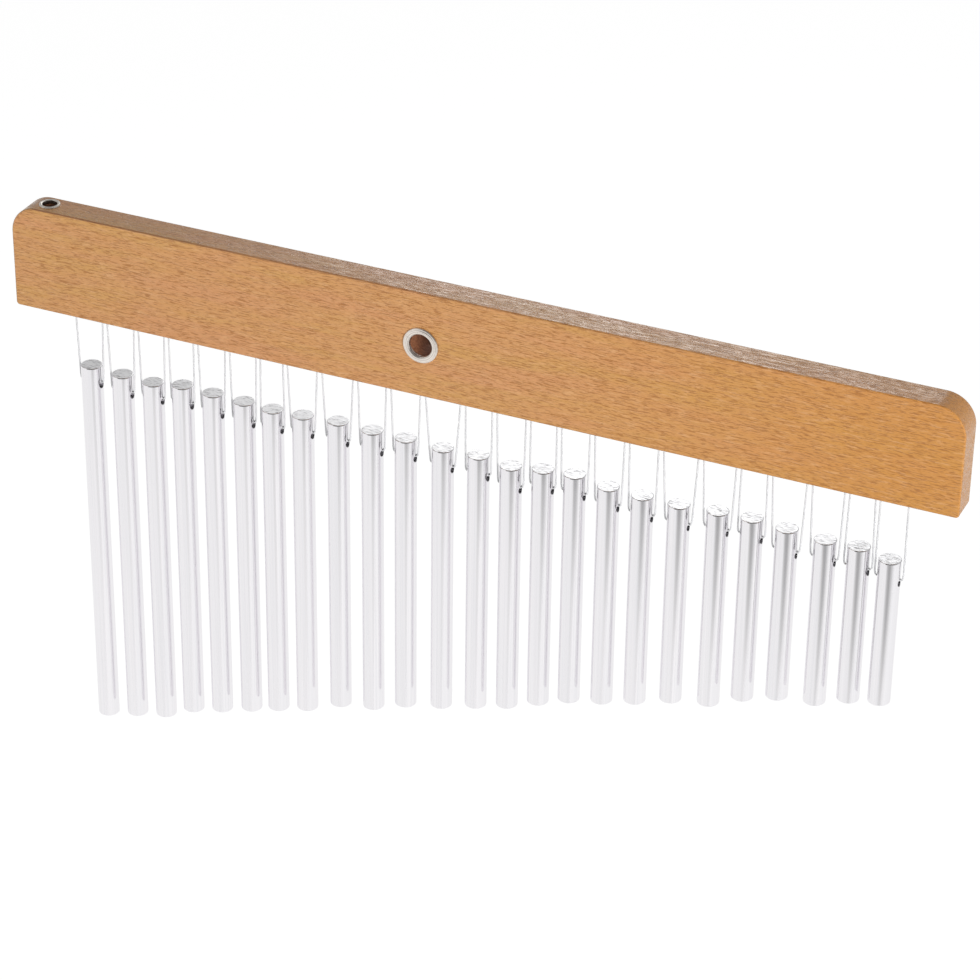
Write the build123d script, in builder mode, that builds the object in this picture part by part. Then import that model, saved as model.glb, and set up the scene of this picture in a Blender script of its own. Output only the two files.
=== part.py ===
from build123d import *
import os

# Bar chimes: a beech beam with a row of aluminium bars, each hung on a loop of clear line.
# Millimetres. Origin at the middle of the stand hole, X along the beam towards the short bars,
# the front at -Y, Z up.

# Beam
BEAM_LENGTH = 400.0
BEAM_HEIGHT = 45.0
BEAM_DEPTH = 13.0
BEAM_CORNER = 12.0
BEAM_FOOT_CORNER = 1.5
BEAM_EASE = 0.7

# Holes with eyelets: one through the face for a stand, one down through the left end
STAND_HOLE_SETBACK = 182.0
STAND_THROAT = 9.5
STAND_FLANGE = 15.0
STAND_BARREL = 2.0
STAND_CROWN = 1.1
END_HOLE_SETBACK = 14.5
END_THROAT = 5.8
END_FLANGE = 9.2
END_BARREL = 5.0
END_CROWN = 0.6
EYELET_WALL = 0.45
EYELET_FIT = 0.05

# Row of blind holes under the beam, drilled by eye: each hole's step off the even pitch
BAR_COUNT = 25
FIRST_HOLE_SETBACK = 22.0
HOLE_PITCH = 14.4
HOLE_SHIFTS = [
    1.0, 1.0, 1.0, 0.5, -0.5, -0.5, -1.0, -3.5, -2.5, -1.0, -1.0, -0.5, 2.5,
    1.5, 1.5, 0.0, -0.5, -0.5, -1.0, 1.0, 2.0, 0.0, 1.5, 2.0, -0.5, -2.0,
]
HOLE_DEPTH = 10.5
HOLE_ROOM = 0.07
HOLE_SIDES = 6

# Line, and the pegs that wedge its bights in the holes
LINE_DIAMETER = 0.7
LINE_SIDES = 5
LINE_STANDOFF = 1.3
LINE_BEND = 0.5
LINE_GAP = 0.45
PEG_THICKNESS = 1.2
PEG_WIDTH = 2.0
PEG_LENGTH = 7.0
PEG_ROOM = 0.03
BIGHT_HEADROOM = 0.3

# Bars: lengths fall along the row, and each bar's length, drilling and hanging differ a little by hand
BAR_DIAMETER = 9.0
BAR_LONGEST = 169.5
BAR_SHORTEST = 63.0
LENGTH_SHIFTS = [
    0.5, 0.0, 0.5, 0.5, 0.5, 0.0, 0.0, 1.0, 0.0, 1.0, 0.0, 0.0, 0.5,
    -0.5, 0.5, 1.0, 0.0, 0.0, -0.5, 2.0, 0.5, -0.5, 1.0, 1.0, 0.5,
]
CROSS_HOLE_DIAMETER = 3.4
CROSS_HOLE_DROP = 9.3
CROSS_HOLE_SHIFTS = [
    -1.0, -0.5, -1.5, -0.5, 0.0, 0.5, -0.5, -1.0, 0.0, 0.0, -1.0, -0.5, 0.0,
    0.5, -0.5, 0.0, -0.5, 0.0, 0.0, -0.5, -0.5, 1.5, 0.0, 1.0, 0.0,
]
LINE_CLEARANCE = 0.4
HANG_DROP = 24.3
HANG_SHIFTS = [
    0.5, -0.5, -1.0, 1.0, 0.5, 0.0, -0.5, 0.0, 1.0, 0.5, 0.5, 0.0, 0.5,
    -1.0, 1.0, 2.0, 0.0, -0.5, -0.5, 0.5, 1.0, 0.0, -1.0, -0.5, -3.0,
]

# Places worked out from the sizes above
LEFT_END = -STAND_HOLE_SETBACK
BEAM_MIDDLE = LEFT_END + BEAM_LENGTH / 2
BEAM_TOP = BEAM_HEIGHT / 2
UNDERSIDE = -BEAM_HEIGHT / 2
END_HOLE_X = LEFT_END + END_HOLE_SETBACK
LINE_RADIUS = LINE_DIAMETER / 2
BAR_RADIUS = BAR_DIAMETER / 2
BIGHT_RADIUS = PEG_THICKNESS / 2 + PEG_ROOM + LINE_RADIUS
HOLE_RADIUS = BIGHT_RADIUS + LINE_RADIUS + HOLE_ROOM
HOLE_TOP = UNDERSIDE + HOLE_DEPTH
HOLE_TURN = 90 - 180 / HOLE_SIDES
BIGHT_TOP = HOLE_TOP - BIGHT_HEADROOM - LINE_RADIUS
PEG_TOP = BIGHT_TOP - LINE_RADIUS - PEG_ROOM
LOOP_TOP = UNDERSIDE - LINE_GAP
STRAND_REACH = BAR_RADIUS + LINE_STANDOFF


def shifted(shifts, index):
    """The hand-made unevenness at one place of the row."""
    return shifts[index % len(shifts)]


def hole_x(index):
    """Place along the beam of one blind hole."""
    return LEFT_END + FIRST_HOLE_SETBACK + HOLE_PITCH * index + shifted(HOLE_SHIFTS, index)


def bar_x(index):
    """Place along the beam of one bar, midway between its two holes."""
    return (hole_x(index) + hole_x(index + 1)) / 2


def bar_top(index):
    """Height of one bar's upper end."""
    return UNDERSIDE - HANG_DROP + shifted(HANG_SHIFTS, index)


def bar_length(index):
    """Length of one bar, from the longest on the left to the shortest."""
    even = BAR_LONGEST + (BAR_SHORTEST - BAR_LONGEST) * index / (BAR_COUNT - 1)
    return even + shifted(LENGTH_SHIFTS, index)


def cross_hole_z(index):
    """Height of the cross-hole's axis in one bar."""
    return bar_top(index) - CROSS_HOLE_DROP - shifted(CROSS_HOLE_SHIFTS, index)


def line_z(index):
    """Height of the line inside one bar's cross-hole, just under the hole's crown."""
    return cross_hole_z(index) + CROSS_HOLE_DIAMETER / 2 - LINE_CLEARANCE - LINE_RADIUS


HOLE_XS = [hole_x(index) for index in range(BAR_COUNT + 1)]

os.makedirs("parts", exist_ok=True)


def save(piece, name):
    """Labels one finished piece and writes it."""
    piece.part.label = name
    export_step(piece.part, f"parts/{name}.step")


# Beam: a board cut to outline, its edges eased, then bored
with BuildPart() as beam:
    with BuildSketch(Plane.XZ) as outline:
        with Locations((BEAM_MIDDLE, 0)):
            Rectangle(BEAM_LENGTH, BEAM_HEIGHT)
        fillet(outline.vertices().group_by(Axis.Y)[-1], BEAM_CORNER)
        fillet(outline.vertices().group_by(Axis.Y)[0], BEAM_FOOT_CORNER)
    extrude(amount=BEAM_DEPTH / 2, both=True)
    chamfer(beam.faces().filter_by(Axis.Y).edges(), BEAM_EASE)
    with BuildSketch(Plane.XZ):
        Circle(STAND_THROAT / 2 + EYELET_WALL + EYELET_FIT)
    extrude(amount=BEAM_DEPTH, both=True, mode=Mode.SUBTRACT)
    with BuildSketch(Plane.XY):
        with Locations((END_HOLE_X, 0)):
            Circle(END_THROAT / 2 + EYELET_WALL + EYELET_FIT)
    extrude(amount=BEAM_HEIGHT, both=True, mode=Mode.SUBTRACT)
    with BuildSketch(Plane.XY.offset(UNDERSIDE)):
        with Locations(*[(x, 0) for x in HOLE_XS]):
            RegularPolygon(HOLE_RADIUS, HOLE_SIDES, major_radius=False, rotation=HOLE_TURN)
    extrude(amount=HOLE_DEPTH, mode=Mode.SUBTRACT)
save(beam, "beam")


def make_eyelet(name, mouth, throat, flange, barrel, crown):
    """A pressed ring whose raised flange sits on the wood and whose barrel lines the hole."""
    throat_radius = throat / 2
    flange_radius = flange / 2
    crest_radius = (throat_radius + flange_radius) / 2
    with BuildPart() as eyelet:
        with BuildSketch(Plane(mouth.origin, x_dir=mouth.x_dir, z_dir=mouth.y_dir)):
            with BuildLine():
                Polyline(
                    (throat_radius, -crown),
                    (crest_radius, -crown),
                    (flange_radius, 0),
                    (throat_radius + EYELET_WALL, 0),
                    (throat_radius + EYELET_WALL, barrel),
                    (throat_radius, barrel),
                    close=True,
                )
            make_face()
        revolve(axis=Axis(mouth.origin, mouth.z_dir))
    save(eyelet, name)


# Eyelets: a pair in the stand hole and a pair in the end hole, pressed in from both mouths
make_eyelet("front_eyelet", Plane((0, -BEAM_DEPTH / 2, 0), (1, 0, 0), (0, -1, 0)),
            STAND_THROAT, STAND_FLANGE, STAND_BARREL, STAND_CROWN)
make_eyelet("rear_eyelet", Plane((0, BEAM_DEPTH / 2, 0), (1, 0, 0), (0, 1, 0)),
            STAND_THROAT, STAND_FLANGE, STAND_BARREL, STAND_CROWN)
make_eyelet("top_eyelet", Plane((END_HOLE_X, 0, BEAM_TOP), (1, 0, 0), (0, 0, 1)),
            END_THROAT, END_FLANGE, END_BARREL, END_CROWN)
make_eyelet("bottom_eyelet", Plane((END_HOLE_X, 0, UNDERSIDE), (1, 0, 0), (0, 0, -1)),
            END_THROAT, END_FLANGE, END_BARREL, END_CROWN)

# Line bights: the line's turns inside the beam, one over the square end of each peg
with BuildPart() as line_bights:
    for x in HOLE_XS:
        with BuildLine() as turn:
            Polyline(
                (x - BIGHT_RADIUS, 0, UNDERSIDE),
                (x - BIGHT_RADIUS, 0, BIGHT_TOP),
                (x + BIGHT_RADIUS, 0, BIGHT_TOP),
                (x + BIGHT_RADIUS, 0, UNDERSIDE),
            )
        with BuildSketch(turn.line ^ 0):
            RegularPolygon(LINE_RADIUS, LINE_SIDES)
        sweep(transition=Transition.RIGHT)
save(line_bights, "line_bights")

# Line pegs: flat slivers of wood pushed up into the bights
with BuildPart() as line_pegs:
    with BuildSketch(Plane.XY.offset(PEG_TOP - PEG_LENGTH)):
        with Locations(*[(x, 0) for x in HOLE_XS]):
            Rectangle(PEG_THICKNESS, PEG_WIDTH)
    extrude(amount=PEG_LENGTH)
save(line_pegs, "line_pegs")


def make_loop(index):
    """One bar's loop: down from the left hole, through the bar, up to the right hole."""
    x = bar_x(index)
    z = line_z(index)
    with BuildPart() as loop:
        with BuildLine() as route:
            Polyline(
                (hole_x(index) + BIGHT_RADIUS, 0, LOOP_TOP),
                (x - STRAND_REACH, 0, z + LINE_BEND),
                (x - STRAND_REACH + LINE_BEND, 0, z),
                (x + STRAND_REACH - LINE_BEND, 0, z),
                (x + STRAND_REACH, 0, z + LINE_BEND),
                (hole_x(index + 1) - BIGHT_RADIUS, 0, LOOP_TOP),
            )
        with BuildSketch(route.line ^ 0):
            RegularPolygon(LINE_RADIUS, LINE_SIDES)
        sweep(transition=Transition.RIGHT)
    save(loop, f"line_loop_{index + 1:02d}")
    return sum(edge.length for edge in route.edges())


def make_bar(index):
    """One solid bar with a cross-hole for its line."""
    x = bar_x(index)
    length = bar_length(index)
    with BuildPart() as bar:
        with BuildSketch(Plane.XY.offset(bar_top(index) - length)):
            with Locations((x, 0)):
                Circle(BAR_RADIUS)
        extrude(amount=length)
        with BuildSketch(Plane.YZ.offset(x)):
            with Locations((0, cross_hole_z(index))):
                RegularPolygon(CROSS_HOLE_DIAMETER / 2, HOLE_SIDES, major_radius=False, rotation=HOLE_TURN)
        extrude(amount=BAR_DIAMETER, both=True, mode=Mode.SUBTRACT)
    save(bar, f"bar_{index + 1:02d}")


# Bars and their loops, one pair for each place in the row
for index in range(BAR_COUNT):
    loop_length = make_loop(index)
    make_bar(index)
    print(f"line_loop_{index + 1:02d}: {loop_length:.1f} mm of line")
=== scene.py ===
import math
import bmesh
import bpy
from mathutils import Matrix, Vector


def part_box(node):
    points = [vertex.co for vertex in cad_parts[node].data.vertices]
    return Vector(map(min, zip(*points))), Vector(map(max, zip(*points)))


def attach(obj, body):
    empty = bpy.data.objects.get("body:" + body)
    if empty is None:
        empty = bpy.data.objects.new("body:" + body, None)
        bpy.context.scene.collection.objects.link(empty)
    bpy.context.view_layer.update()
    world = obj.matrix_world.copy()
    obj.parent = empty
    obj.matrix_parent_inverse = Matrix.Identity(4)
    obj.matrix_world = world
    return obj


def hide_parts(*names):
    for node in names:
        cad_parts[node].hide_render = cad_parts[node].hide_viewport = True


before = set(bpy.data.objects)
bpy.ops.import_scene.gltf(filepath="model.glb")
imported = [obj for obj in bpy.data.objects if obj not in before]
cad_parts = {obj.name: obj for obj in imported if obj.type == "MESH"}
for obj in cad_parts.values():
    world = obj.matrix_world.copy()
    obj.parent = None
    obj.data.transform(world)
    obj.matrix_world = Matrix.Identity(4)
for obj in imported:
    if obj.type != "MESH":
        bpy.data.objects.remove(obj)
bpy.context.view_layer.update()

# Beam: one length of planed beech, its two upper corners rounded off and every edge eased by hand.
# It is bored for two eyeleted holes, drilled from below for the lacing, and thinly varnished.
MM = 0.001
BEAM_CORNER = 12 * MM
BEAM_CORNER_STEPS = 18
BEAM_FOOT_CORNER = 1.5 * MM
BEAM_FOOT_STEPS = 6
BEAM_EASE = 0.7 * MM
BEAM_EASE_STEPS = 4
STAND_BORE = 5.25 * MM
END_BORE = 3.4 * MM
END_HOLE_SETBACK = 14.5 * MM
LACING_HOLE = 1.4 * MM
LACING_HOLE_DEPTH = 10.5 * MM
FIRST_HOLE_SETBACK = 22 * MM
HOLE_PITCH = 14.4 * MM
HOLE_SHIFTS_MM = [
    1.0, 1.0, 1.0, 0.5, -0.5, -0.5, -1.0, -3.5, -2.5, -1.0, -1.0, -0.5, 2.5,
    1.5, 1.5, 0.0, -0.5, -0.5, -1.0, 1.0, 2.0, 0.0, 1.5, 2.0, -0.5, -2.0,
]
BORE_SIDES = 72
LACING_SIDES = 24
SMOOTH_ANGLE = math.radians(35)
CLOSE = 1e-6

beam_low, beam_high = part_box("beam")
beam_middle = (beam_low + beam_high) / 2
beam_size = beam_high - beam_low
end_hole_x = beam_low.x + END_HOLE_SETBACK
hole_xs = [
    beam_low.x + FIRST_HOLE_SETBACK + HOLE_PITCH * index + shift * MM
    for index, shift in enumerate(HOLE_SHIFTS_MM)
]


def edit(piece):
    """Opens one piece alone in edit mode."""
    bpy.ops.object.select_all(action="DESELECT")
    piece.select_set(True)
    bpy.context.view_layer.objects.active = piece
    bpy.ops.object.mode_set(mode="EDIT")


def done():
    """Goes back from edit mode."""
    bpy.ops.object.mode_set(mode="OBJECT")


def pick(piece, kind, test):
    """Selects the vertices, edges or faces of the piece in edit mode that pass the test."""
    bpy.ops.mesh.select_mode(type=kind)
    bpy.ops.mesh.select_all(action="DESELECT")
    mesh = bmesh.from_edit_mesh(piece.data)
    parts = {"VERT": mesh.verts, "EDGE": mesh.edges, "FACE": mesh.faces}[kind]
    for part in parts:
        if test(part):
            part.select_set(True)
    bmesh.update_edit_mesh(piece.data)


def settle(piece, name):
    """Names a new primitive and puts its place and size into its mesh."""
    piece.name = name
    piece.data.name = name
    bpy.ops.object.transform_apply(location=True, rotation=True, scale=True)
    return piece


def add_modifier(piece, kind, **settings):
    """Adds one modifier with its settings and applies it."""
    bpy.ops.object.select_all(action="DESELECT")
    piece.select_set(True)
    bpy.context.view_layer.objects.active = piece
    modifier = piece.modifiers.new(kind.lower(), kind)
    for key, value in settings.items():
        setattr(modifier, key, value)
    bpy.ops.object.modifier_apply(modifier=modifier.name)


def smooth(piece):
    """Smooth shading that keeps sharp edges and flat faces true."""
    bpy.ops.object.select_all(action="DESELECT")
    piece.select_set(True)
    bpy.context.view_layer.objects.active = piece
    bpy.ops.object.shade_smooth_by_angle(angle=SMOOTH_ANGLE)
    add_modifier(piece, "WEIGHTED_NORMAL", keep_sharp=True)


def along_y(edge):
    """True for an edge that runs straight from front to back."""
    run = edge.verts[0].co - edge.verts[1].co
    return abs(run.x) < CLOSE and abs(run.z) < CLOSE


def on_outline(edge):
    """True for an edge round the beam's front or back face."""
    return any(all(abs(vert.co.y - y) < CLOSE for vert in edge.verts) for y in (beam_low.y, beam_high.y))


bpy.ops.object.select_all(action="DESELECT")
bpy.ops.mesh.primitive_cube_add(size=1, location=beam_middle, scale=beam_size)
beam = settle(bpy.context.object, "beam_board")
edit(beam)
pick(beam, "EDGE", lambda edge: along_y(edge) and edge.verts[0].co.z > beam_middle.z)
bpy.ops.mesh.bevel(offset=BEAM_CORNER, segments=BEAM_CORNER_STEPS, affect="EDGES")
pick(beam, "EDGE", lambda edge: along_y(edge) and edge.verts[0].co.z < beam_low.z + CLOSE)
bpy.ops.mesh.bevel(offset=BEAM_FOOT_CORNER, segments=BEAM_FOOT_STEPS, affect="EDGES")
pick(beam, "EDGE", on_outline)
bpy.ops.mesh.bevel(offset=BEAM_EASE, segments=BEAM_EASE_STEPS, affect="EDGES")
done()

bpy.ops.object.select_all(action="DESELECT")
drills = []
bpy.ops.mesh.primitive_cylinder_add(
    vertices=BORE_SIDES, radius=STAND_BORE, depth=2 * beam_size.y, rotation=(math.pi / 2, 0, 0)
)
drills.append(bpy.context.object)
bpy.ops.mesh.primitive_cylinder_add(
    vertices=BORE_SIDES, radius=END_BORE, depth=2 * beam_size.z, location=(end_hole_x, 0, 0)
)
drills.append(bpy.context.object)
for x in hole_xs:
    bpy.ops.mesh.primitive_cylinder_add(
        vertices=LACING_SIDES, radius=LACING_HOLE, depth=2 * LACING_HOLE_DEPTH, location=(x, 0, beam_low.z)
    )
    drills.append(bpy.context.object)
for drill in drills:
    drill.select_set(True)
bpy.ops.object.join()
drill = bpy.context.object
add_modifier(beam, "BOOLEAN", operation="DIFFERENCE", solver="EXACT", object=drill)
bpy.data.objects.remove(drill)
smooth(beam)


def new_material(name):
    """An empty node material and its shader."""
    material = bpy.data.materials.new(name)
    material.use_nodes = True
    return material, material.node_tree, material.node_tree.nodes["Principled BSDF"]


def object_place(tree, scale=(1, 1, 1), turn=(0, 0, 0), shift=(0, 0, 0)):
    """The place on the piece, in metres, stretched and turned for a pattern."""
    coordinates = tree.nodes.new("ShaderNodeTexCoord")
    mapping = tree.nodes.new("ShaderNodeMapping")
    mapping.inputs["Scale"].default_value = scale
    mapping.inputs["Rotation"].default_value = turn
    mapping.inputs["Location"].default_value = shift
    tree.links.new(coordinates.outputs["Object"], mapping.inputs["Vector"])
    return mapping.outputs["Vector"]


def noise(tree, place, detail=2.0, roughness=0.5, distortion=0.0):
    """Cloudy noise with cells one unit of the place wide."""
    node = tree.nodes.new("ShaderNodeTexNoise")
    node.inputs["Scale"].default_value = 1.0
    node.inputs["Detail"].default_value = detail
    node.inputs["Roughness"].default_value = roughness
    node.inputs["Distortion"].default_value = distortion
    tree.links.new(place, node.inputs["Vector"])
    return node.outputs["Fac"]


def graded(tree, value, low, high, start=0.0, end=1.0):
    """A value that runs from start to end as another goes from low to high."""
    node = tree.nodes.new("ShaderNodeMapRange")
    node.inputs["From Min"].default_value = low
    node.inputs["From Max"].default_value = high
    node.inputs["To Min"].default_value = start
    node.inputs["To Max"].default_value = end
    tree.links.new(value, node.inputs["Value"])
    return node.outputs["Result"]


def tinted(tree, share, first, second):
    """One colour turned into another by a share; each is a colour or a node's output."""
    node = tree.nodes.new("ShaderNodeMix")
    node.data_type = "RGBA"
    factor = node.inputs[0]
    colour_a = node.inputs[6]
    colour_b = node.inputs[7]
    for value, socket in ((share, factor), (first, colour_a), (second, colour_b)):
        if isinstance(value, bpy.types.NodeSocket):
            tree.links.new(value, socket)
        elif isinstance(value, tuple):
            socket.default_value = (*value, 1.0)
        else:
            socket.default_value = value
    return node.outputs[2]


def calculated(tree, operation, first, second):
    """Two values joined by one operation; each is a number or a node's output."""
    node = tree.nodes.new("ShaderNodeMath")
    node.operation = operation
    for value, socket in ((first, node.inputs[0]), (second, node.inputs[1])):
        if isinstance(value, bpy.types.NodeSocket):
            tree.links.new(value, socket)
        else:
            socket.default_value = value
    return node.outputs["Value"]


def relief(tree, shader, height, depth, strength, layers=("Normal",)):
    """Bump on the layers of a shader from a height that runs from 0 to 1."""
    node = tree.nodes.new("ShaderNodeBump")
    node.inputs["Distance"].default_value = depth
    node.inputs["Strength"].default_value = strength
    tree.links.new(height, node.inputs["Height"])
    for layer in layers:
        tree.links.new(node.outputs["Normal"], shader.inputs[layer])


BEECH = (0.632, 0.307, 0.107)
BEECH_YELLOW = (0.622, 0.320, 0.095)
BEECH_RED = (0.640, 0.299, 0.118)
BEECH_ORANGE = (0.610, 0.262, 0.042)
BEECH_FLECK = (0.370, 0.136, 0.022)
BEECH_RAY = (0.730, 0.395, 0.170)
# Painted shade: the bored wood colours are darkened for the shade inside the drilled holes.
SHADED_BORE_WOOD = (0.360, 0.150, 0.075)
SHADED_BORE_WOOD_DARK = (0.200, 0.075, 0.036)
# Painted shade: a dark brown reflection along the front-top arris, painted into the colour.
ARRIS_PAINTED_SHADE = (0.200, 0.075, 0.030)
ARRIS_SHADE_SHARE = 0.9
GRAIN_TILT = math.radians(1.3)
BAND_SCALE = (14, 110, 110)
PORE_SCALE = (240, 2500, 2500)
FINE_PORE_SCALE = (480, 2600, 2600)
RAY_SCALE = (150, 1100, 1100)
SHEEN_SCALE = (70, 620, 620)
FIBRE_SCALE = (250, 1500, 1500)
RED_BANDS = (0.36, 0.48)
YELLOW_BANDS = (0.50, 0.62)
ORANGE_ALONG = (0.04, 0.19)
ORANGE_SHARE = 0.7
RAYS = (0.54, 0.68)
RAY_SHARE = 0.60
FINE_PORES = (0.54, 0.62)
FINE_PORE_SHARE = 0.40
PORES = (0.54, 0.61)
PORE_SHARE = 0.80
PORE_HOLLOWS = (0.48, 0.70)
PORE_DEPTH = 0.10 * MM
VARNISH_ROUGHNESS = (0.24, 0.52)
VARNISH_COAT = 0.5
VARNISH_COAT_ROUGHNESS = 0.22
BORED_ROUGHNESS = (0.65, 0.85)
BORED_FIBRE_DEPTH = 0.15 * MM
SHEEN_RANGE = (0.38, 0.62)
MIDDLE_RANGE = (0.35, 0.65)
WIDE_RANGE = (0.3, 0.7)


def beech_finish():
    """Varnished beech: broad warm bands, short dark pores and pale rays along the grain, and painted shade
    along the front-top arris.
    """
    material, tree, shader = new_material("beech_varnished")
    tilt = (0, GRAIN_TILT, 0)
    counter_tilt = (0, -GRAIN_TILT, 0)
    bands = noise(tree, object_place(tree, BAND_SCALE, tilt), detail=3.0, roughness=0.55, distortion=0.4)
    pores = noise(tree, object_place(tree, PORE_SCALE, tilt), roughness=0.55)
    fine_pores = noise(tree, object_place(tree, FINE_PORE_SCALE, tilt, shift=(3, 5, 7)))
    rays = noise(tree, object_place(tree, RAY_SCALE, counter_tilt, shift=(9, 2, 4)))
    place = tree.nodes.new("ShaderNodeSeparateXYZ")
    tree.links.new(object_place(tree), place.inputs["Vector"])
    colour = tinted(tree, graded(tree, bands, *RED_BANDS), BEECH_RED, BEECH)
    colour = tinted(tree, graded(tree, bands, *YELLOW_BANDS), colour, BEECH_YELLOW)
    orange = graded(tree, place.outputs["X"], *ORANGE_ALONG, 0.0, ORANGE_SHARE)
    colour = tinted(tree, orange, colour, BEECH_ORANGE)
    colour = tinted(tree, graded(tree, rays, *RAYS, 0.0, RAY_SHARE), colour, BEECH_RAY)
    colour = tinted(tree, graded(tree, fine_pores, *FINE_PORES, 0.0, FINE_PORE_SHARE), colour, BEECH_FLECK)
    colour = tinted(tree, graded(tree, pores, *PORES, 0.0, PORE_SHARE), colour, BEECH_FLECK)
    # Painted shade: the front-top arris is darkened towards dark brown, strongest at the left end and
    # fading out to the right.
    at_top = graded(tree, place.outputs["Z"], beam_high.z - BEAM_EASE, beam_high.z - BEAM_EASE / 2)
    face = beam_low.y
    at_front = graded(tree, place.outputs["Y"], face + BEAM_EASE / 2, face + BEAM_EASE, 1.0, 0.0)
    along = graded(tree, place.outputs["X"], beam_low.x, beam_high.x, ARRIS_SHADE_SHARE, 0.0)
    painted_arris_shade = calculated(tree, "MULTIPLY", calculated(tree, "MULTIPLY", at_top, at_front), along)
    colour = tinted(tree, painted_arris_shade, colour, ARRIS_PAINTED_SHADE)
    tree.links.new(colour, shader.inputs["Base Color"])
    sheen = noise(tree, object_place(tree, SHEEN_SCALE, tilt, shift=(1, 8, 3)), detail=4.0, roughness=0.65)
    tree.links.new(graded(tree, sheen, *SHEEN_RANGE, *VARNISH_ROUGHNESS), shader.inputs["Roughness"])
    shader.inputs["Coat Weight"].default_value = VARNISH_COAT
    shader.inputs["Coat Roughness"].default_value = VARNISH_COAT_ROUGHNESS
    height = graded(tree, pores, *PORE_HOLLOWS, 1.0, 0.0)
    relief(tree, shader, height, PORE_DEPTH, strength=0.7, layers=("Normal", "Coat Normal"))
    return material


def bored_shaded_finish():
    """Raw beech as the drill leaves it, dry, with the fibres torn along the grain, and coloured dark as
    painted shade inside the holes.
    """
    material, tree, shader = new_material("beech_bored_shaded")
    fibres = noise(tree, object_place(tree, FIBRE_SCALE), detail=3.0, roughness=0.6)
    colour = tinted(tree, graded(tree, fibres, *MIDDLE_RANGE), SHADED_BORE_WOOD, SHADED_BORE_WOOD_DARK)
    tree.links.new(colour, shader.inputs["Base Color"])
    tree.links.new(graded(tree, fibres, *WIDE_RANGE, *BORED_ROUGHNESS), shader.inputs["Roughness"])
    relief(tree, shader, fibres, BORED_FIBRE_DEPTH, strength=0.5)
    return material


def in_bore(face):
    """True for a face of the wall of one of the beam's drilled holes."""
    places = [vert.co for vert in face.verts]
    in_stand_hole = all(math.hypot(place.x, place.z) < STAND_BORE + CLOSE for place in places)
    in_end_hole = all(math.hypot(place.x - end_hole_x, place.y) < END_BORE + CLOSE for place in places)
    in_lacing_hole = any(
        all(math.hypot(place.x - x, place.y) < LACING_HOLE + CLOSE for place in places) for x in hole_xs
    )
    return in_stand_hole or in_end_hole or in_lacing_hole


beam.data.materials.clear()
beam.data.materials.append(beech_finish())
beam.data.materials.append(bored_shaded_finish())
edit(beam)
pick(beam, "FACE", in_bore)
beam.active_material_index = 1
bpy.ops.object.material_slot_assign()
done()
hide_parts("beam")
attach(beam, "frame")

# Eyelets: four rings pressed from thin nickel-plated sheet, each with a domed flange and a short barrel.
# One pair lines the stand hole through the face, the smaller pair the hole down through the left end.
EYELET_SIDES = 96
EYELET_SHEET = 0.35 * MM
DOME_STEPS = 28
DOME_FLATNESS = 0.6
GROOVE_OUT = 0.45
GROOVE_WIDTH = 0.16
GROOVE_DEPTH = 0.14
STAND_THROAT = 4.75 * MM
STAND_FLANGE = 7.5 * MM
STAND_CROWN = 1.1 * MM
STAND_BARREL = 0.5 * MM
END_THROAT = 3.0 * MM
END_FLANGE = 4.3 * MM
END_CROWN = 0.6 * MM
END_BARREL = 1.2 * MM
STAND_EYELET = (STAND_THROAT, STAND_FLANGE, STAND_CROWN, STAND_BARREL)
END_EYELET = (END_THROAT, END_FLANGE, END_CROWN, END_BARREL)
NICKEL = (0.94, 0.87, 0.80)
# Painted reflection: the darker line colours stand for dark things mirrored in the turned rings.
NICKEL_REFLECTION_LINES = (0.66, 0.60, 0.54)
DULL_NICKEL = (0.78, 0.73, 0.67)
DULL_NICKEL_REFLECTION_LINES = (0.46, 0.42, 0.38)
TURNED_LINE_SCALE = 2600
TURNED_LINE_DEPTH = 0.05 * MM
PAINTED_LINE_RANGE = (0.45, 0.62)
SPECK_SCALE = (1500, 1500, 1500)
SPECKS = (0.55, 0.75)
SPECK_GLOSS_RANGE = (0.35, 0.7)
NICKEL_ROUGHNESS = (0.32, 0.48)


def dome_points(throat, flange, crown, barrel):
    """Radius and height of the sheet's outer face, from the barrel's rim over the dome to the wood."""
    middle = (throat + flange) / 2
    half = (flange - throat) / 2
    points = [(throat, -barrel)]
    for step in range(DOME_STEPS + 1):
        turn = math.pi * (1 - step / DOME_STEPS)
        radius = middle + half * math.cos(turn)
        height = crown * max(math.sin(turn), 0) ** DOME_FLATNESS
        from_groove = (radius - middle - GROOVE_OUT * half) / (GROOVE_WIDTH * half)
        points.append((radius, height - GROOVE_DEPTH * crown * math.exp(-from_groove ** 2)))
    return points


def press_eyelet(name, throat, flange, crown, barrel):
    """One eyelet about the Z axis with its flange on z = 0, drawn up ring by ring from a circle."""
    points = dome_points(throat, flange, crown, barrel)
    bpy.ops.object.select_all(action="DESELECT")
    bpy.ops.mesh.primitive_circle_add(vertices=EYELET_SIDES, radius=throat, location=(0, 0, -barrel))
    eyelet = settle(bpy.context.object, name)
    edit(eyelet)
    pick(eyelet, "EDGE", lambda edge: True)
    for (radius, height), (next_radius, next_height) in zip(points, points[1:]):
        growth = next_radius / radius
        bpy.ops.mesh.extrude_region_move(TRANSFORM_OT_translate={"value": (0, 0, next_height - height)})
        bpy.ops.transform.resize(value=(growth, growth, 1), center_override=(0, 0, next_height))
    bpy.ops.mesh.select_all(action="SELECT")
    bpy.ops.mesh.normals_make_consistent(inside=False)
    done()
    return eyelet


def place_eyelet(eyelet, turn, place):
    """Turns a finished eyelet to its mouth and puts the place into its mesh."""
    eyelet.data.transform(Matrix.Translation(place) @ turn)
    eyelet.data.update()


def from_axis(tree, centre, across):
    """Distance of a place on the piece from an axis through a centre, along the axes given as 1."""
    place = object_place(tree, across, (0, 0, 0), tuple(-c * a for c, a in zip(centre, across)))
    distance = tree.nodes.new("ShaderNodeVectorMath")
    distance.operation = "LENGTH"
    tree.links.new(place, distance.inputs[0])
    return distance.outputs["Value"]


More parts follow.
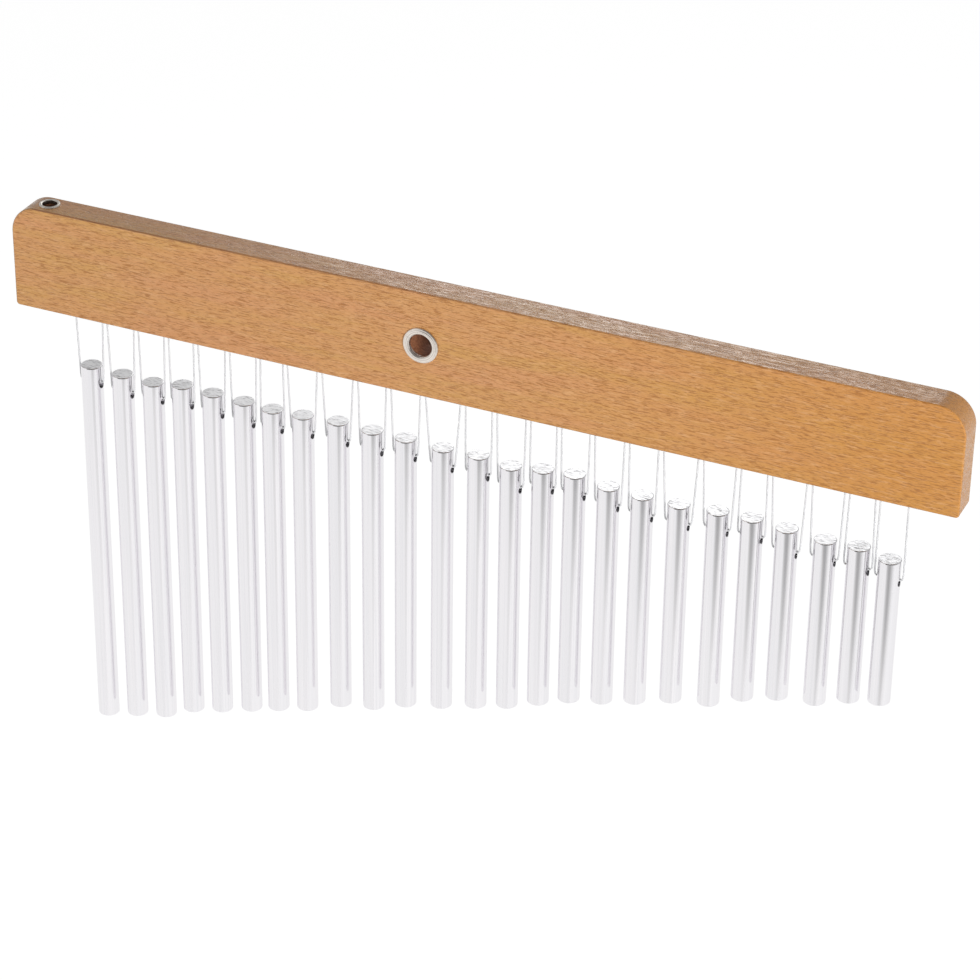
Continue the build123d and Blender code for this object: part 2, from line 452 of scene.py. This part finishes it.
def nickel_finish(name, centre, across, bright, dark):
    """Nickel plate with fine turned lines round the hole's centre, drawn darker as a painted reflection,
    and a few dull specks.
    """
    material, tree, shader = new_material(name)
    rings = tree.nodes.new("ShaderNodeTexNoise")
    rings.noise_dimensions = "1D"
    rings.inputs["Scale"].default_value = TURNED_LINE_SCALE
    rings.inputs["Detail"].default_value = 2.0
    tree.links.new(from_axis(tree, centre, across), rings.inputs["W"])
    specks = noise(tree, object_place(tree, SPECK_SCALE), detail=3.0, roughness=0.6)
    # Painted reflection: dark concentric lines in the colour, following the turned rings.
    colour = tinted(tree, graded(tree, rings.outputs["Fac"], *PAINTED_LINE_RANGE), bright, dark)
    colour = tinted(tree, graded(tree, specks, *SPECKS), colour, dark)
    tree.links.new(colour, shader.inputs["Base Color"])
    shader.inputs["Metallic"].default_value = 1.0
    tree.links.new(graded(tree, specks, *SPECK_GLOSS_RANGE, *NICKEL_ROUGHNESS), shader.inputs["Roughness"])
    relief(tree, shader, rings.outputs["Fac"], TURNED_LINE_DEPTH, strength=0.35)
    return material


FACE_FRONT = Matrix.Rotation(math.pi / 2, 4, "X")
FACE_BACK = Matrix.Rotation(-math.pi / 2, 4, "X")
FACE_UP = Matrix.Identity(4)
FACE_DOWN = Matrix.Rotation(math.pi, 4, "X")
stand_nickel = nickel_finish("nickel_stand_hole", (0, 0, 0), (1, 0, 1), NICKEL, NICKEL_REFLECTION_LINES)
end_nickel = nickel_finish(
    "nickel_end_hole", (end_hole_x, 0, 0), (1, 1, 0), DULL_NICKEL, DULL_NICKEL_REFLECTION_LINES
)
EYELETS = [
    ("front_eyelet", STAND_EYELET, FACE_FRONT, (0, beam_low.y, 0), stand_nickel),
    ("rear_eyelet", STAND_EYELET, FACE_BACK, (0, beam_high.y, 0), stand_nickel),
    ("top_eyelet", END_EYELET, FACE_UP, (end_hole_x, 0, beam_high.z), end_nickel),
    ("bottom_eyelet", END_EYELET, FACE_DOWN, (end_hole_x, 0, beam_low.z), end_nickel),
]
for node, sizes, turn, place, finish in EYELETS:
    eyelet = press_eyelet(f"{node}_ring", *sizes)
    place_eyelet(eyelet, turn, place)
    add_modifier(eyelet, "SOLIDIFY", thickness=EYELET_SHEET, offset=-1.0)
    smooth(eyelet)
    eyelet.data.materials.append(finish)
    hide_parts(node)
    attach(eyelet, "frame")

# Line bights: the turns of the one continuous line inside the beam, pushed up each hole as a bight.
# Clear nylon line; a peg pushed up inside each bight wedges it in the hole.
LINE_RADIUS = 0.35 * MM
BIGHT_RADIUS = 0.98 * MM
BIGHT_TOP = 0.65 * MM
LINE_STEPS = 6
CLEAR_LINE = (0.80, 0.80, 0.82)
CLEAR_LINE_PALE = (0.86, 0.86, 0.87)
LINE_CLOUD_SCALE = (500, 500, 90)
LINE_ROUGHNESS = (0.22, 0.32)
LINE_TRANSMISSION = 0.2
NYLON_IOR = 1.53


def clear_line_finish():
    """Clear nylon line, milky, with faint cloudy streaks along it."""
    material, tree, shader = new_material("clear_nylon")
    cloud = noise(tree, object_place(tree, LINE_CLOUD_SCALE))
    colour = tinted(tree, graded(tree, cloud, *MIDDLE_RANGE), CLEAR_LINE, CLEAR_LINE_PALE)
    tree.links.new(colour, shader.inputs["Base Color"])
    tree.links.new(graded(tree, cloud, *WIDE_RANGE, *LINE_ROUGHNESS), shader.inputs["Roughness"])
    shader.inputs["Transmission Weight"].default_value = LINE_TRANSMISSION
    shader.inputs["IOR"].default_value = NYLON_IOR
    return material


def line_curve(name, points):
    """A smooth round line that follows the points of its route."""
    curve = bpy.data.curves.new(name, "CURVE")
    curve.dimensions = "3D"
    curve.bevel_depth = LINE_RADIUS
    curve.bevel_resolution = LINE_STEPS
    curve.use_fill_caps = True
    spline = curve.splines.new("NURBS")
    spline.points.add(len(points) - 1)
    for point, place in zip(spline.points, points):
        point.co = (*place, 1)
    spline.order_u = 3
    spline.use_endpoint_u = True
    spline.resolution_u = 8
    line = bpy.data.objects.new(name, curve)
    bpy.context.scene.collection.objects.link(line)
    return line


def copy_of(piece, name, shift):
    """A copy of a finished piece with a mesh of its own, moved by a shift."""
    copy = piece.copy()
    copy.data = piece.data.copy()
    copy.name = name
    copy.data.name = name
    copy.data.transform(Matrix.Translation(shift))
    bpy.context.scene.collection.objects.link(copy)
    return copy


def joined_row(first, name):
    """Copies the first hole's piece to every other hole and joins the row into one piece."""
    row = [first]
    for index, x in enumerate(hole_xs[1:], start=2):
        row.append(copy_of(first, f"{name}_{index:02d}", (x - hole_xs[0], 0, 0)))
    bpy.ops.object.select_all(action="DESELECT")
    for piece in row:
        piece.select_set(True)
    bpy.context.view_layer.objects.active = first
    bpy.ops.object.join()
    first.name = name
    first.data.name = name
    return first


clear_nylon = clear_line_finish()
bight_top = beam_low.z + LACING_HOLE_DEPTH - BIGHT_TOP
bight_left = hole_xs[0] - BIGHT_RADIUS
bight_right = hole_xs[0] + BIGHT_RADIUS
first_bight = line_curve("bight_01", [
    (bight_left, 0, beam_low.z),
    (bight_left, 0, bight_top - 2 * BIGHT_RADIUS),
    (bight_left, 0, bight_top),
    (bight_right, 0, bight_top),
    (bight_right, 0, bight_top - 2 * BIGHT_RADIUS),
    (bight_right, 0, beam_low.z),
])
bpy.ops.object.select_all(action="DESELECT")
first_bight.select_set(True)
bpy.context.view_layer.objects.active = first_bight
bpy.ops.object.convert(target="MESH")
line_turns = joined_row(first_bight, "line_turns")
smooth(line_turns)
line_turns.data.materials.append(clear_nylon)
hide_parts("line_bights")
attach(line_turns, "frame")

# Line pegs: flat slivers of raw wood, split by hand and pushed up into the bights to hold the line.
# Each is thinned towards its upper end and broken off inside the hole.
PEG_THICKNESS = 1.2 * MM
PEG_WIDTH = 2.0 * MM
PEG_LENGTH = 7.0 * MM
PEG_CHAMFER = 0.12 * MM
PEG_TAPER_LENGTH = 3.0 * MM
PEG_TIP_SHARE = 0.45
PEG_WOOD = (0.52, 0.35, 0.17)
PEG_WOOD_PALE = (0.70, 0.52, 0.30)
PEG_FIBRE_SCALE = (4000, 4000, 260)
PEG_FIBRE_DEPTH = 0.08 * MM
PEG_ROUGHNESS = (0.7, 0.85)
peg_low, peg_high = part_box("line_pegs")
peg_middle = (hole_xs[0], 0, (peg_low.z + peg_high.z) / 2)
bpy.ops.object.select_all(action="DESELECT")
bpy.ops.mesh.primitive_cube_add(
    size=1, location=peg_middle, scale=(PEG_THICKNESS, PEG_WIDTH, PEG_LENGTH)
)
first_peg = settle(bpy.context.object, "peg_01")
edit(first_peg)
bpy.ops.mesh.select_all(action="SELECT")
bpy.ops.mesh.bisect(plane_co=(0, 0, peg_high.z - PEG_TAPER_LENGTH), plane_no=(0, 0, 1))
pick(first_peg, "VERT", lambda vert: vert.co.z > peg_high.z - PEG_TAPER_LENGTH / 2)
bpy.ops.transform.resize(value=(PEG_TIP_SHARE, 1, 1), center_override=(hole_xs[0], 0, peg_high.z))
pick(first_peg, "EDGE", lambda edge: edge.calc_face_angle() > SMOOTH_ANGLE)
bpy.ops.mesh.bevel(offset=PEG_CHAMFER, segments=2, affect="EDGES")
done()
peg_row = joined_row(first_peg, "peg_row")
smooth(peg_row)


def raw_wood_finish():
    """Split raw wood, pale and dry, with fibres up its length."""
    material, tree, shader = new_material("raw_peg_wood")
    fibres = noise(tree, object_place(tree, PEG_FIBRE_SCALE), detail=3.0, roughness=0.6)
    colour = tinted(tree, graded(tree, fibres, *MIDDLE_RANGE), PEG_WOOD, PEG_WOOD_PALE)
    tree.links.new(colour, shader.inputs["Base Color"])
    tree.links.new(graded(tree, fibres, *WIDE_RANGE, *PEG_ROUGHNESS), shader.inputs["Roughness"])
    relief(tree, shader, fibres, PEG_FIBRE_DEPTH, strength=0.6)
    return material


peg_row.data.materials.append(raw_wood_finish())
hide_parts("line_pegs")
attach(peg_row, "frame")

# Bars: 25 lengths of solid drawn aluminium rod, sawn, faced and tumbled bright, each cross-drilled once.
# Each is tuned by its length, from the longest on the left, and hangs on a loop of line through its hole.
BAR_COUNT = 25
BAR_SIDES = 64
BAR_CHAMFER = 0.42 * MM
CROSS_HOLE = 1.7 * MM
CROSS_HOLE_DROP = 9.3 * MM
CROSS_HOLE_SHIFTS_MM = [
    -1.0, -0.5, -1.5, -0.5, 0.0, 0.5, -0.5, -1.0, 0.0, 0.0, -1.0, -0.5, 0.0,
    0.5, -0.5, 0.0, -0.5, 0.0, 0.0, -0.5, -0.5, 1.5, 0.0, 1.0, 0.0,
]
CROSS_HOLE_SIDES = 40
CROSS_HOLE_MARGIN = 1.0 * MM
ALUMINIUM = (0.933, 0.915, 0.934)
ALUMINIUM_STREAK = (0.877, 0.869, 0.893)
# Painted shade: the faced ends are coloured darker than the sides so that the bar tops look greyer.
SHADED_FACED_END = (0.79, 0.79, 0.80)
SCRATCHED_END = (0.22, 0.22, 0.23)
STREAK_SCALE = (1500, 1500, 9)
SCRATCH_SCALE = (350, 2600, 900)
SCRATCH_TURN = 0.5
SCRATCHES = (0.52, 0.70)
SCRATCH_DEPTH = 0.10 * MM
STREAK_HEIGHT = 0.1
FLAT_FROM = (0.90, 0.98)
SIDE_ROUGHNESS = (0.07, 0.17)
END_ROUGHNESS = (0.36, 0.54)


def cross_hole_z(index):
    """Height of one bar's cross-hole, drilled by hand near its top."""
    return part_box(f"bar_{index:02d}")[1].z - CROSS_HOLE_DROP - CROSS_HOLE_SHIFTS_MM[index - 1] * MM


def bar_finish():
    """Bright drawn aluminium: long fine drawing lines on the side, short scratches on the faced ends,
    whose colour is darkened as painted shade.
    """
    material, tree, shader = new_material("drawn_aluminium")
    streaks = noise(tree, object_place(tree, STREAK_SCALE), roughness=0.6)
    scratch_place = object_place(tree, SCRATCH_SCALE, turn=(0, 0, SCRATCH_TURN))
    scratches = noise(tree, scratch_place, detail=3.0, roughness=0.6)
    geometry = tree.nodes.new("ShaderNodeNewGeometry")
    parts = tree.nodes.new("ShaderNodeSeparateXYZ")
    tree.links.new(geometry.outputs["Normal"], parts.inputs["Vector"])
    flat = graded(tree, calculated(tree, "ABSOLUTE", parts.outputs["Z"], 0.0), *FLAT_FROM)
    rough = tree.nodes.new("ShaderNodeMix")
    tree.links.new(flat, rough.inputs[0])
    tree.links.new(graded(tree, streaks, *WIDE_RANGE, *SIDE_ROUGHNESS), rough.inputs[2])
    tree.links.new(graded(tree, scratches, *WIDE_RANGE, *END_ROUGHNESS), rough.inputs[3])
    tree.links.new(rough.outputs[0], shader.inputs["Roughness"])
    colour = tinted(tree, graded(tree, streaks, *WIDE_RANGE), ALUMINIUM, ALUMINIUM_STREAK)
    # Painted shade: the faced ends take a darker colour than the sides, and the scratches on them are
    # darker still.
    end_colour = tinted(tree, graded(tree, scratches, *SCRATCHES), SHADED_FACED_END, SCRATCHED_END)
    tree.links.new(tinted(tree, flat, colour, end_colour), shader.inputs["Base Color"])
    shader.inputs["Metallic"].default_value = 1.0
    height = tinted(tree, flat, calculated(tree, "MULTIPLY", streaks, STREAK_HEIGHT), scratches)
    relief(tree, shader, height, SCRATCH_DEPTH, strength=0.5)
    return material


def model_bar():
    """The first bar, turned and drilled in its own place."""
    low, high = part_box("bar_01")
    centre = (low + high) / 2
    hole_z = cross_hole_z(1)
    bpy.ops.object.select_all(action="DESELECT")
    bpy.ops.mesh.primitive_cylinder_add(
        vertices=BAR_SIDES, radius=(high.x - low.x) / 2, depth=high.z - low.z, location=centre
    )
    bar = settle(bpy.context.object, "chime_bar_01")
    edit(bar)
    pick(bar, "EDGE", lambda edge: abs(edge.verts[0].co.z - edge.verts[1].co.z) < CLOSE)
    bpy.ops.mesh.bevel(offset=BAR_CHAMFER, segments=3, affect="EDGES")
    for z in (hole_z + CROSS_HOLE + CROSS_HOLE_MARGIN, hole_z - CROSS_HOLE - CROSS_HOLE_MARGIN):
        bpy.ops.mesh.select_all(action="SELECT")
        bpy.ops.mesh.bisect(plane_co=(centre.x, 0, z), plane_no=(0, 0, 1))
    done()
    bpy.ops.mesh.primitive_cylinder_add(
        vertices=CROSS_HOLE_SIDES, radius=CROSS_HOLE, depth=2 * (high.x - low.x),
        location=(centre.x, 0, hole_z), rotation=(0, math.pi / 2, 0)
    )
    drill = bpy.context.object
    add_modifier(bar, "BOOLEAN", operation="DIFFERENCE", solver="EXACT", object=drill)
    bpy.data.objects.remove(drill)
    bar.data.materials.clear()
    smooth(bar)
    return bar


def cut_bar(first, index):
    """A copy of the first bar, put in another place and cut to its length."""
    low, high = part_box(f"bar_{index:02d}")
    first_low, first_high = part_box("bar_01")
    shift = high - first_high
    bar = copy_of(first, f"chime_bar_{index:02d}", shift)
    edit(bar)
    middle = (low.z + high.z) / 2
    hole_z = cross_hole_z(1) + shift.z
    hole_reach = CROSS_HOLE + 2 * CROSS_HOLE_MARGIN
    pick(bar, "VERT", lambda vert: vert.co.z < middle)
    bpy.ops.transform.translate(value=(0, 0, low.z - first_low.z - shift.z))
    pick(bar, "VERT", lambda vert: abs(vert.co.z - hole_z) < hole_reach)
    bpy.ops.transform.translate(value=(0, 0, cross_hole_z(index) - hole_z))
    done()
    return bar


drawn_aluminium = bar_finish()
first_bar = model_bar()
bars = [first_bar] + [cut_bar(first_bar, index) for index in range(2, BAR_COUNT + 1)]
for index, bar in enumerate(bars, start=1):
    bar.data.materials.append(drawn_aluminium)
    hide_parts(f"bar_{index:02d}")
    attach(bar, f"chime_{index:02d}")

# Loops: the free lengths of the clear nylon line below the beam, one loop for each bar.
# Each comes down from one hole, through the bar's cross-hole, and goes up into the next hole.
LINE_DIAMETER = 2 * LINE_RADIUS
LOOP_SEAT = 0.02 * MM
LINE_STANDOFF = 0.8 * MM
LINE_SPREAD = 0.40 * MM
LINE_BEND = 1.4 * MM
MOUTH_GAP = 0.6 * MM
MOUTH_RUN = 1.9 * MM
MOUTH_DROP = 0.05 * MM
CROWN_CLEARANCE = 0.4 * MM
CROWN_TOUCH = 0.35 * MM
STRAIGHT_END = 6 * LINE_DIAMETER


def loop_route(index):
    """The points of one loop, from the left hole through the bar to the right hole."""
    low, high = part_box(f"bar_{index:02d}")
    x = (low.x + high.x) / 2
    outside = (high.x - low.x) / 2 + MOUTH_GAP
    reach = (high.x - low.x) / 2 + LINE_STANDOFF + LINE_SPREAD * index / BAR_COUNT
    z = cross_hole_z(index) + CROSS_HOLE - CROWN_CLEARANCE - LINE_RADIUS
    top = beam_low.z - LOOP_SEAT
    sides = []
    for side, hole in ((-1, hole_xs[index - 1] + BIGHT_RADIUS), (1, hole_xs[index] - BIGHT_RADIUS)):
        upper = Vector((hole, 0, top))
        bend = Vector((x + side * reach, 0, z + LINE_BEND))
        straight = bend + (upper - bend).normalized() * STRAIGHT_END
        mouth = Vector((x + side * outside, 0, z - MOUTH_DROP))
        within = Vector((x + side * (outside - MOUTH_RUN), 0, z - MOUTH_DROP))
        sides.append([upper, straight, bend, mouth, within])
    return sides[0] + [Vector((x, 0, z + CROWN_TOUCH))] + sides[1][::-1]


for index in range(1, BAR_COUNT + 1):
    route = loop_route(index)
    loop = line_curve(f"line_strand_{index:02d}", route)
    loop.data.materials.append(clear_nylon)
    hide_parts(f"line_loop_{index:02d}")
    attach(loop, f"line_{index:02d}")

# Studio: a white floor far below the hanging part, pale walls under a darker ceiling, and two soft lamps.
# The large key stands at the front right; the softbox behind gives the top and the bar ends their sheen.
# Two soft-edged dark cards, seen only in reflections, draw the grey bands down the bars.
FLOOR_Z = -0.75
FLOOR_FRONT = -0.8
FLOOR_DEPTH = 8.0
FLOOR_WIDTH = 12.0
FLOOR_ALBEDO = 0.25
FLOOR_GLOW = 0.90
FLOOR_MIRRORED = 0.80
AMBIENT = 0.36
CEILING_BACK = 0.55
CEILING_FRONT = 0.10
CEILING_LEFT = 1.0
CEILING_LEFT_EDGE = (-0.46, -0.34)
CEILING_BACK_EDGE = (-0.5, 0.2)
CEILING_RIM = (-0.05, 0.15)
WALL_BRIGHTNESS = [
    (-180, 0.90), (-110, 0.86), (-65, 0.93), (0, 0.92), (40, 0.90),
    (60, 1.03), (80, 1.02), (120, 0.95), (180, 0.90),
]


def floor_finish():
    """White floor that glows for what sees it and still takes the shadow of the part."""
    material = bpy.data.materials.new("studio_floor")
    material.use_nodes = True
    tree = material.node_tree
    tree.nodes.clear()
    diffuse = tree.nodes.new("ShaderNodeBsdfDiffuse")
    diffuse.inputs["Color"].default_value = (FLOOR_ALBEDO, FLOOR_ALBEDO, FLOOR_ALBEDO, 1)
    glow = tree.nodes.new("ShaderNodeEmission")
    glow.inputs["Color"].default_value = (1, 1, 1, 1)
    path = tree.nodes.new("ShaderNodeLightPath")
    seen = calculated(tree, "MAXIMUM", path.outputs["Is Camera Ray"], path.outputs["Is Transmission Ray"])
    seen = calculated(tree, "MULTIPLY", seen, FLOOR_GLOW)
    reflected = calculated(tree, "MULTIPLY", path.outputs["Is Glossy Ray"], FLOOR_MIRRORED)
    tree.links.new(calculated(tree, "MAXIMUM", seen, reflected), glow.inputs["Strength"])
    both = tree.nodes.new("ShaderNodeAddShader")
    tree.links.new(diffuse.outputs[0], both.inputs[0])
    tree.links.new(glow.outputs[0], both.inputs[1])
    output = tree.nodes.new("ShaderNodeOutputMaterial")
    tree.links.new(both.outputs[0], output.inputs["Surface"])
    return material


bpy.ops.object.select_all(action="DESELECT")
bpy.ops.mesh.primitive_plane_add(size=1, location=(0, FLOOR_FRONT + FLOOR_DEPTH / 2, FLOOR_Z))
bpy.context.object.scale = (FLOOR_WIDTH, FLOOR_DEPTH, 1)
floor = settle(bpy.context.object, "studio_floor")
floor.data.materials.append(floor_finish())

scene = bpy.context.scene
world = bpy.data.worlds.new("studio")
scene.world = world
world.use_nodes = True
tree = world.node_tree
tree.nodes.clear()
path = tree.nodes.new("ShaderNodeLightPath")
ambient = tree.nodes.new("ShaderNodeBackground")
ambient.inputs["Strength"].default_value = AMBIENT
white = tree.nodes.new("ShaderNodeBackground")
white.inputs["Color"].default_value = (1, 1, 1, 1)
reflected = tree.nodes.new("ShaderNodeBackground")
directions = tree.nodes.new("ShaderNodeTexCoord")
toward = tree.nodes.new("ShaderNodeSeparateXYZ")
tree.links.new(directions.outputs["Generated"], toward.inputs["Vector"])
to_front = calculated(tree, "MULTIPLY", toward.outputs["Y"], -1)
bearing = calculated(tree, "ARCTAN2", toward.outputs["X"], to_front)
walls = tree.nodes.new("ShaderNodeValToRGB")
walls.color_ramp.elements.remove(walls.color_ramp.elements[1])
walls.color_ramp.elements[0].position = 0
walls.color_ramp.elements[0].color = (WALL_BRIGHTNESS[0][1],) * 3 + (1,)
for angle, brightness in WALL_BRIGHTNESS[1:]:
    stop = walls.color_ramp.elements.new(0.5 + angle / 360)
    stop.color = (brightness, brightness, brightness, 1)
tree.links.new(graded(tree, bearing, -math.pi, math.pi), walls.inputs["Fac"])
tree.links.new(walls.outputs["Color"], reflected.inputs["Color"])
front = graded(tree, toward.outputs["X"], *CEILING_LEFT_EDGE, CEILING_LEFT, CEILING_FRONT)
to_back = graded(tree, toward.outputs["Y"], *CEILING_BACK_EDGE)
change = calculated(tree, "MULTIPLY", to_back, calculated(tree, "SUBTRACT", CEILING_BACK, front))
ceiling = calculated(tree, "ADD", front, change)
height = graded(tree, toward.outputs["Z"], *CEILING_RIM)
shade = calculated(tree, "MULTIPLY", height, calculated(tree, "SUBTRACT", 1.0, ceiling))
tree.links.new(calculated(tree, "SUBTRACT", 1.0, shade), reflected.inputs["Strength"])
glossy_mix = tree.nodes.new("ShaderNodeMixShader")
tree.links.new(path.outputs["Is Glossy Ray"], glossy_mix.inputs[0])
tree.links.new(ambient.outputs[0], glossy_mix.inputs[1])
tree.links.new(reflected.outputs[0], glossy_mix.inputs[2])
seen_mix = tree.nodes.new("ShaderNodeMixShader")
seen = calculated(tree, "MAXIMUM", path.outputs["Is Camera Ray"], path.outputs["Is Transmission Ray"])
tree.links.new(seen, seen_mix.inputs[0])
tree.links.new(glossy_mix.outputs[0], seen_mix.inputs[1])
tree.links.new(white.outputs[0], seen_mix.inputs[2])
output = tree.nodes.new("ShaderNodeOutputWorld")
tree.links.new(seen_mix.outputs[0], output.inputs["Surface"])


def softbox(name, place, aim, width, height, power, mirrored):
    """A soft lamp aimed at a point of the part, which shows in reflections if it is mirrored."""
    lamp = bpy.data.lights.new(name, "AREA")
    lamp.shape = "RECTANGLE"
    lamp.size = width
    lamp.size_y = height
    lamp.energy = power
    stand = bpy.data.objects.new(name, lamp)
    stand.location = place
    stand.rotation_euler = (Vector(aim) - Vector(place)).to_track_quat("-Z", "Y").to_euler()
    stand.visible_glossy = mirrored
    scene.collection.objects.link(stand)


AIM = (0.02, 0, -0.05)
softbox("key_softbox", (2.9, -3.3, 0.6), AIM, width=2.6, height=2.6, power=208, mirrored=False)
softbox("back_softbox", (-0.435, 1.4, 0.8), AIM, width=0.54, height=0.6, power=3.3, mirrored=True)
FLAG_CORE = 0.15


def dark_flag(name, place, width, height, grey, density):
    """A soft-edged dark card that shows only in reflections, upright and facing the part."""
    bpy.ops.object.select_all(action="DESELECT")
    bpy.ops.mesh.primitive_plane_add(
        size=1, location=place, rotation=(math.pi / 2, 0, math.atan2(place[0], -place[1]))
    )
    bpy.context.object.scale = (width, height, 1)
    flag = settle(bpy.context.object, name)
    material = bpy.data.materials.new(name)
    material.use_nodes = True
    tree = material.node_tree
    tree.nodes.clear()
    across = tree.nodes.new("ShaderNodeTexCoord")
    parts = tree.nodes.new("ShaderNodeSeparateXYZ")
    tree.links.new(across.outputs["UV"], parts.inputs["Vector"])
    cover = density
    for axis in ("X", "Y"):
        offset = calculated(tree, "SUBTRACT", parts.outputs[axis], 0.5)
        from_middle = calculated(tree, "ABSOLUTE", offset, 0)
        cover = calculated(tree, "MULTIPLY", graded(tree, from_middle, FLAG_CORE, 0.5, 1.0, 0.0), cover)
    clear = tree.nodes.new("ShaderNodeBsdfTransparent")
    card = tree.nodes.new("ShaderNodeEmission")
    card.inputs["Color"].default_value = (grey, grey, grey, 1)
    both = tree.nodes.new("ShaderNodeMixShader")
    tree.links.new(cover, both.inputs[0])
    tree.links.new(clear.outputs[0], both.inputs[1])
    tree.links.new(card.outputs[0], both.inputs[2])
    output = tree.nodes.new("ShaderNodeOutputMaterial")
    tree.links.new(both.outputs[0], output.inputs["Surface"])
    material.cycles.emission_sampling = "NONE"
    flag.data.materials.append(material)
    flag.visible_camera = False
    flag.visible_diffuse = False
    flag.visible_transmission = False
    flag.visible_shadow = False


dark_flag("wide_flag", (0.50, -1.07, -0.55), width=0.70, height=0.75, grey=0.72, density=0.9)
dark_flag("near_flag", (0.228, -0.290, -0.191), width=0.56, height=0.229, grey=0.08, density=0.52)

# Camera: a long lens above the part and to its right, about 1.3 m off, looking down along the row.
# Its place, turn and lens were fitted to the beam's edges and the bars in the picture.
CAMERA_PLACE = (0.502436, -1.074793, 0.620572)
CAMERA_TURN = math.radians(23.857)
CAMERA_TILT = math.radians(59.883)
CAMERA_ROLL = math.radians(0.829)
CAMERA_LENS = 126.97
CAMERA_SENSOR = 36
lens = bpy.data.cameras.new("camera")
lens.sensor_width = CAMERA_SENSOR
lens.lens = CAMERA_LENS
camera = bpy.data.objects.new("camera", lens)
camera.matrix_world = (
    Matrix.Translation(CAMERA_PLACE)
    @ Matrix.Rotation(CAMERA_TURN, 4, "Z")
    @ Matrix.Rotation(CAMERA_TILT, 4, "X")
    @ Matrix.Rotation(CAMERA_ROLL, 4, "Z")
)
scene.collection.objects.link(camera)
scene.camera = camera
scene.view_settings.view_transform = "Standard"
